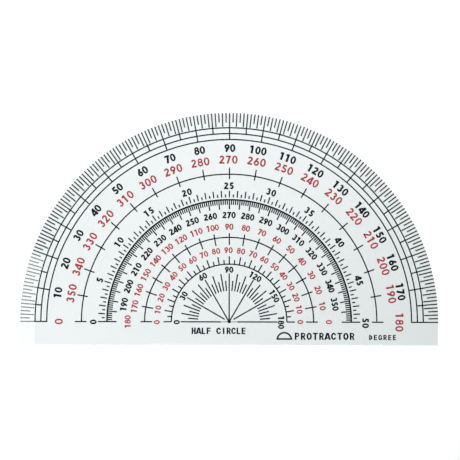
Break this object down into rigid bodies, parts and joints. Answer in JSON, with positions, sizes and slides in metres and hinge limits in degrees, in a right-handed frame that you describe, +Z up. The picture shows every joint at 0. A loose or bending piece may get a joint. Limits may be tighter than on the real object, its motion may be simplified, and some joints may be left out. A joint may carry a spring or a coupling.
{
  "type": "protractor",
  "caption": "Clear half-circle protractor with a bevelled rim, a straight base strip and printed degree and percent scales.",
  "frame": {"origin": "the vertex where the rays and the base line meet, on the plane that the underside rests on", "axes": "+X along the base line towards the 180 degree mark, +Y towards the 90 degree mark, +Z up out of the printed face"},
  "size_m": [0.1, 0.0556, 0.0015],
  "materials": {
    "clear_plastic": "polished, clear with a faint grey-green tint",
    "black_ink": "printed film, satin",
    "red_ink": "printed film, satin"
  },
  "bodies": {
    "root": {"clear_plate": "clear_plastic", "rim_degree_ticks": "black_ink", "rim_scale_frame": "black_ink", "outer_black_numerals": "black_ink", "ten_degree_arc": "black_ink", "percent_ticks": "black_ink", "percent_numerals": "black_ink", "one_degree_arc": "black_ink", "middle_black_numerals": "black_ink", "second_ten_degree_arc": "black_ink", "five_degree_arc": "black_ink", "inner_black_numerals": "black_ink", "fan_ticks": "black_ink", "centre_rays": "black_ink", "shape_label": "black_ink", "emblem": "black_ink", "name_label": "black_ink", "unit_label": "black_ink", "outer_red_numerals": "red_ink", "middle_red_numerals": "red_ink", "slope_red_numerals": "red_ink"}
  },
  "joints": []
}
